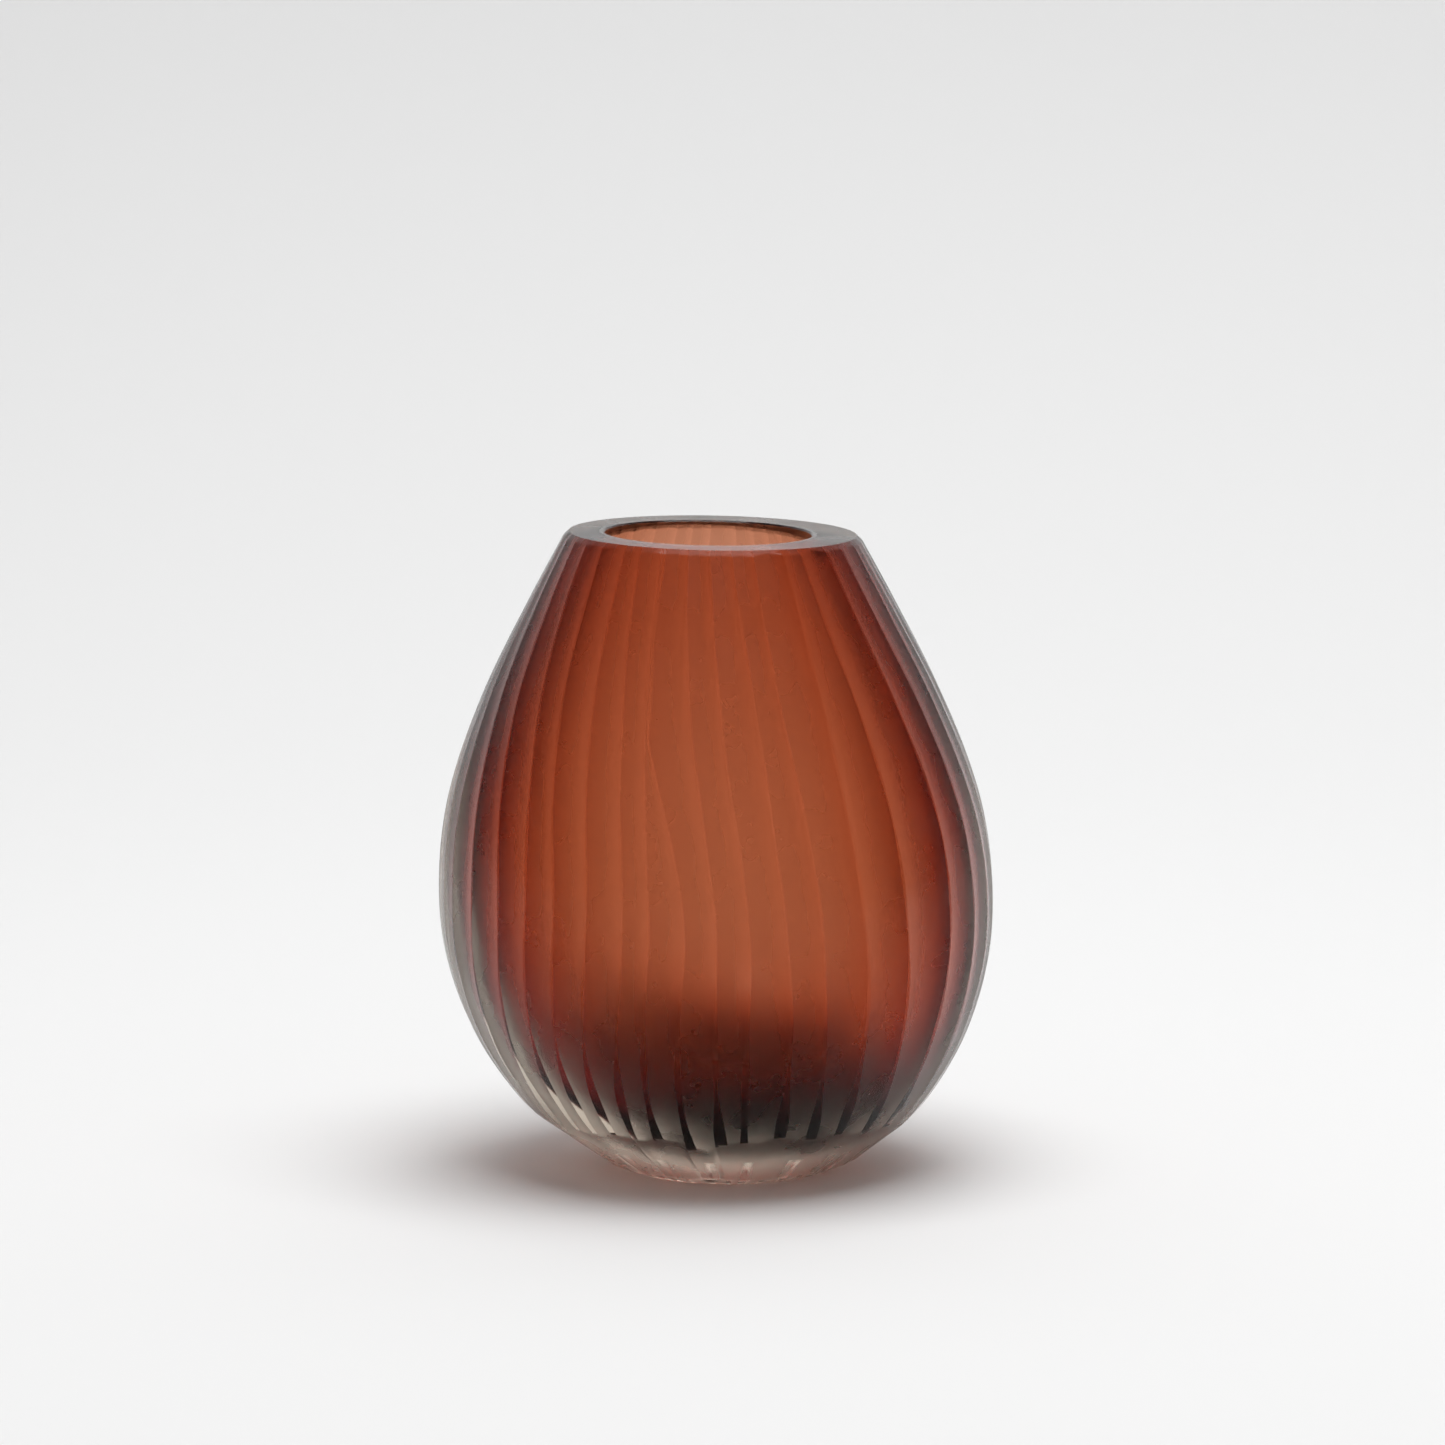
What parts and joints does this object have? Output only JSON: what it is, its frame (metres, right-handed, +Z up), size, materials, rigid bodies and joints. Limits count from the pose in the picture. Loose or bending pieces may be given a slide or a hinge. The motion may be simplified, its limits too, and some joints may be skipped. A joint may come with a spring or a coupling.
{
  "type": "vase",
  "caption": "Egg-shaped cased-glass vase: thick clear satin casing cut with upright facets over a thin rust-coloured cup, flat ground rim and foot.",
  "frame": {"origin": "centre of the flat foot, on the surface that the vase stands on", "axes": "+Z up from the foot to the mouth; the front faces -Y, with +X to its right, and the body leans a little towards -X"},
  "size_m": [0.1732, 0.1734, 0.2009],
  "materials": {
    "clear_satin_glass": "clear glass, satin ground on the cut facets, rim and foot",
    "rust_glass": "transparent rust-amber glass, blown smooth"
  },
  "bodies": {
    "root": {"clear_casing": "clear_satin_glass", "colour_layer": "rust_glass"}
  },
  "joints": []
}
